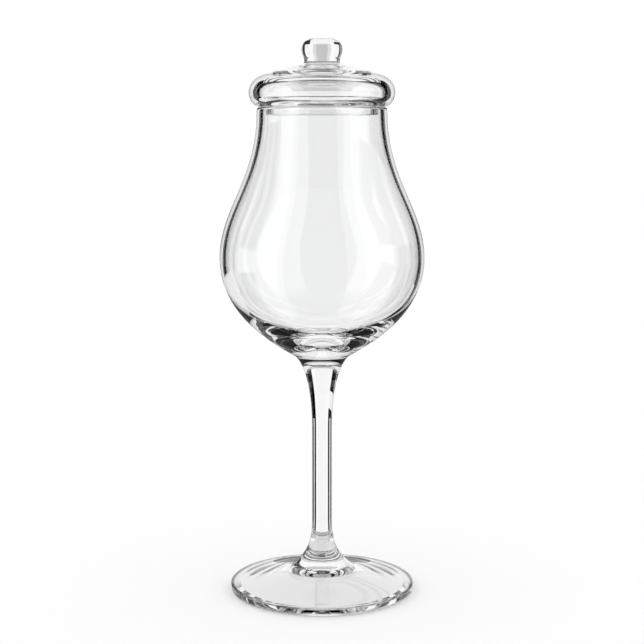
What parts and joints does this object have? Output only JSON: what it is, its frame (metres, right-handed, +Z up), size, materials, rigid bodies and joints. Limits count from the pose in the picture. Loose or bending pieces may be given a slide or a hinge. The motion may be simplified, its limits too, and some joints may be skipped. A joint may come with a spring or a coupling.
{
  "type": "whisky nosing glass with lid",
  "caption": "Clear stemmed whisky nosing glass: tulip bowl with a straight neck, drawn stem, round foot and a loose blown-glass lid with a knob that lifts off the mouth.",
  "frame": {"origin": "middle of the foot's underside, on the plane it stands on", "axes": "+Z up along the axis of the glass; the glass is round, so X and Y are free"},
  "size_m": [0.0682, 0.0682, 0.1858],
  "materials": {
    "bowl_glass": "clear, fire polished, colourless",
    "stem_glass": "clear, fire polished, drawn",
    "foot_glass": "clear, fire polished, pressed flat",
    "lid_glass": "clear, fire polished, blown",
    "knob_glass": "clear, fire polished, solid"
  },
  "bodies": {
    "goblet": {"bowl": "bowl_glass", "stem": "stem_glass", "foot": "foot_glass"},
    "lid": {"lid_cap": "lid_glass", "lid_collar": "lid_glass", "lid_knob": "knob_glass"}
  },
  "joints": [
    {"name": "lid_lift", "type": "slide", "parent": "goblet", "child": "lid", "axis": [0, 0, 1], "range_m": [0, 0.08]}
  ]
}
